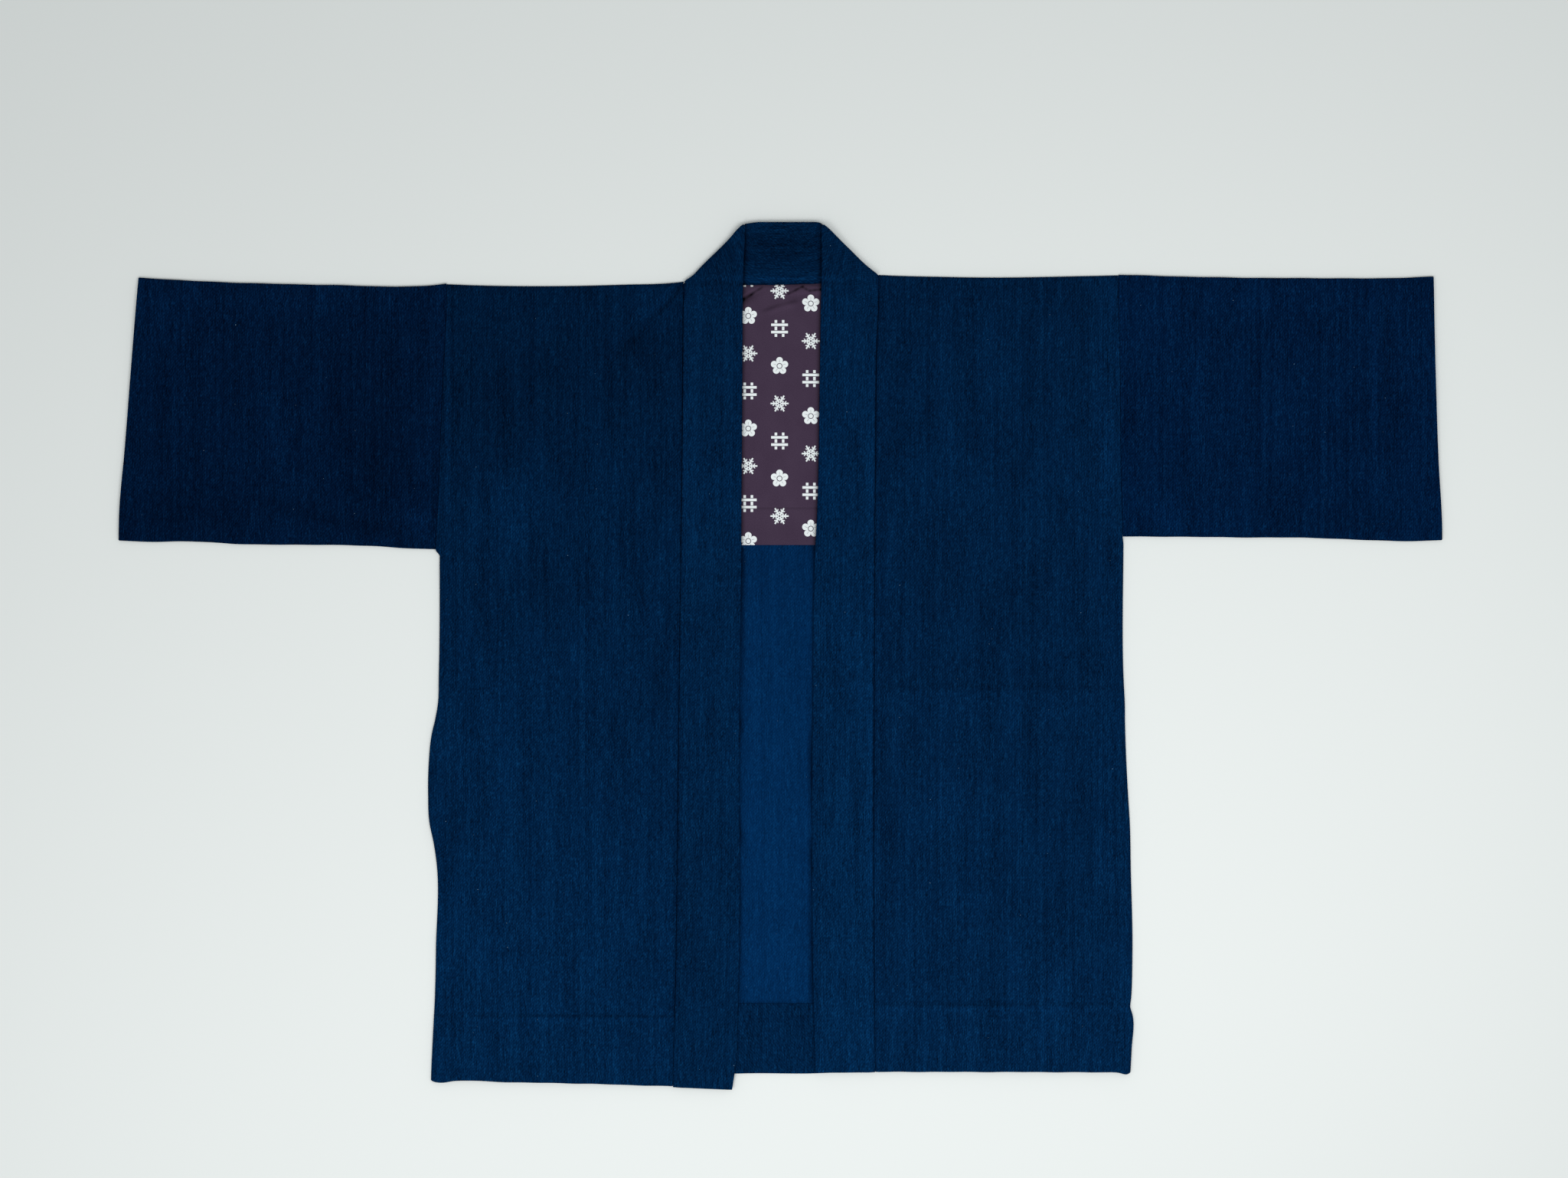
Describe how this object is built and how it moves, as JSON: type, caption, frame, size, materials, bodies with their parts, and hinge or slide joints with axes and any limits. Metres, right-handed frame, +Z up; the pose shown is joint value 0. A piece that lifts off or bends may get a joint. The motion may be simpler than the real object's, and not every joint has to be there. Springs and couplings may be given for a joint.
{
  "type": "hanten jacket",
  "caption": "Short straight-sleeved hanten work jacket in indigo cotton, laid flat with its front up, with a folded collar band and a printed shoulder lining.",
  "frame": {"origin": "on the surface that the jacket lies on, under the middle of its outline", "axes": "+X towards the wearer's left sleeve, +Y from the hem to the neck, +Z up from the surface"},
  "size_m": [1.313, 0.8596, 0.0063],
  "materials": {
    "indigo_cotton": "slubby twill weave, matte, yarn-dyed deep indigo with lighter vertical slubs",
    "indigo_inside": "inside face of the same twill, plainer and a little lighter",
    "indigo_band": "the same slubby twill, folded double and pressed",
    "printed_lining": "thin plain-weave cotton, dull plum ground with small white printed motifs"
  },
  "bodies": {
    "root": {"back": "indigo_inside", "front_right": "indigo_cotton", "front_left": "indigo_cotton", "sleeve_right": "indigo_cotton", "sleeve_left": "indigo_cotton", "collar": "indigo_band", "yoke_lining": "printed_lining"}
  },
  "joints": []
}
